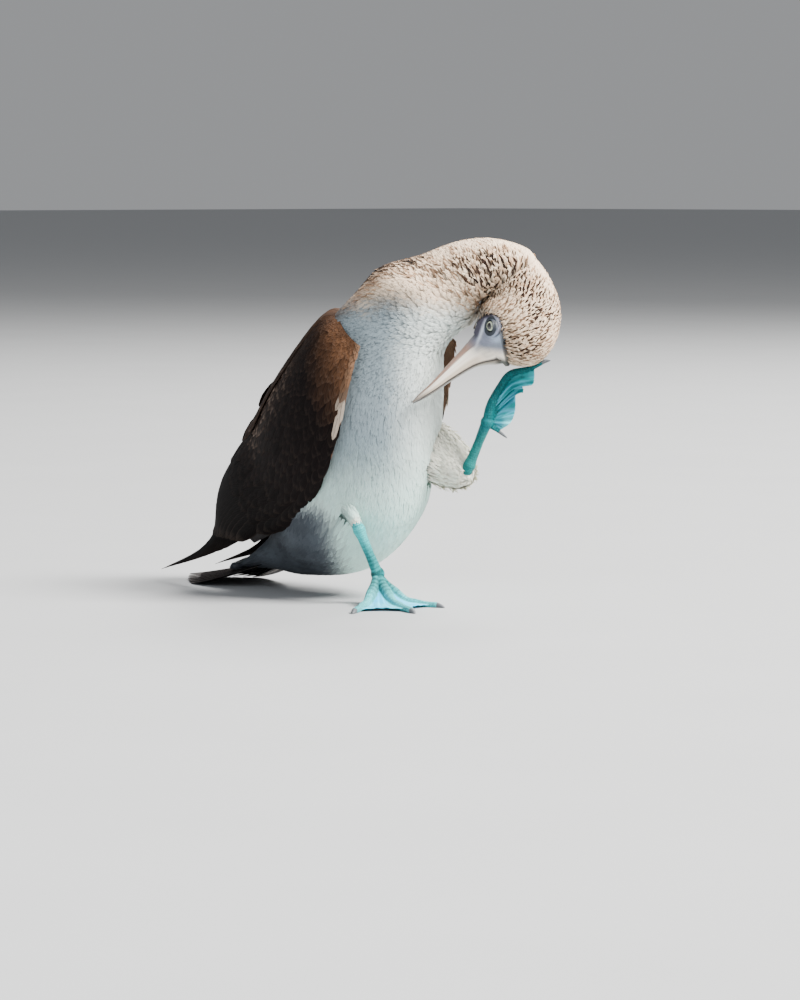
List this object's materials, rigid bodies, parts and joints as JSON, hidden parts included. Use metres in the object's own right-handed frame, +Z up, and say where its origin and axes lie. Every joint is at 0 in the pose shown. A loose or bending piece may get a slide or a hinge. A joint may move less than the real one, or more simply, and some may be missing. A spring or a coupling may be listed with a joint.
{
  "type": "seabird figure",
  "caption": "Life-size still figure of a web-footed seabird standing on one leg, neck arched over, scratching its chin with the raised foot.",
  "frame": {"origin": "the flat under the middle toe of the standing right foot, on the floor it stands on", "axes": "+X ahead of the bird, +Y to its left, +Z up"},
  "size_m": [0.4719, 0.2187, 0.3711],
  "materials": {
    "plumage_white": "soft matte white breast and belly feathers",
    "plumage_streaked": "matte cream feathers with brown streaks",
    "plumage_brown": "satin dark brown feathers with paler edges",
    "plumage_tail": "satin grey-brown feathers with pale shafts",
    "bill_horn": "semi-matte grey and tan horn",
    "foot_skin": "fine-scaled turquoise skin",
    "claw_horn": "semi-matte grey horn",
    "eye_wet": "wet, pale yellow iris with a dark pupil"
  },
  "bodies": {
    "root": {"trunk": "plumage_white", "neck": "plumage_streaked", "head": "plumage_streaked", "mantle": "plumage_brown", "wing_left": "plumage_brown", "wing_right": "plumage_brown", "tail": "plumage_tail", "thigh_left": "plumage_white", "thigh_right": "plumage_white", "shank_left": "foot_skin", "shank_right": "foot_skin", "foot_left": "foot_skin", "foot_right": "foot_skin", "bill_upper": "bill_horn", "bill_lower": "bill_horn", "eye_left": "eye_wet", "eye_right": "eye_wet", "claw_right_first": "claw_horn", "claw_right_second": "claw_horn", "claw_right_third": "claw_horn", "claw_right_fourth": "claw_horn", "claw_left_first": "claw_horn", "claw_left_second": "claw_horn", "claw_left_third": "claw_horn", "claw_left_fourth": "claw_horn"}
  },
  "joints": []
}
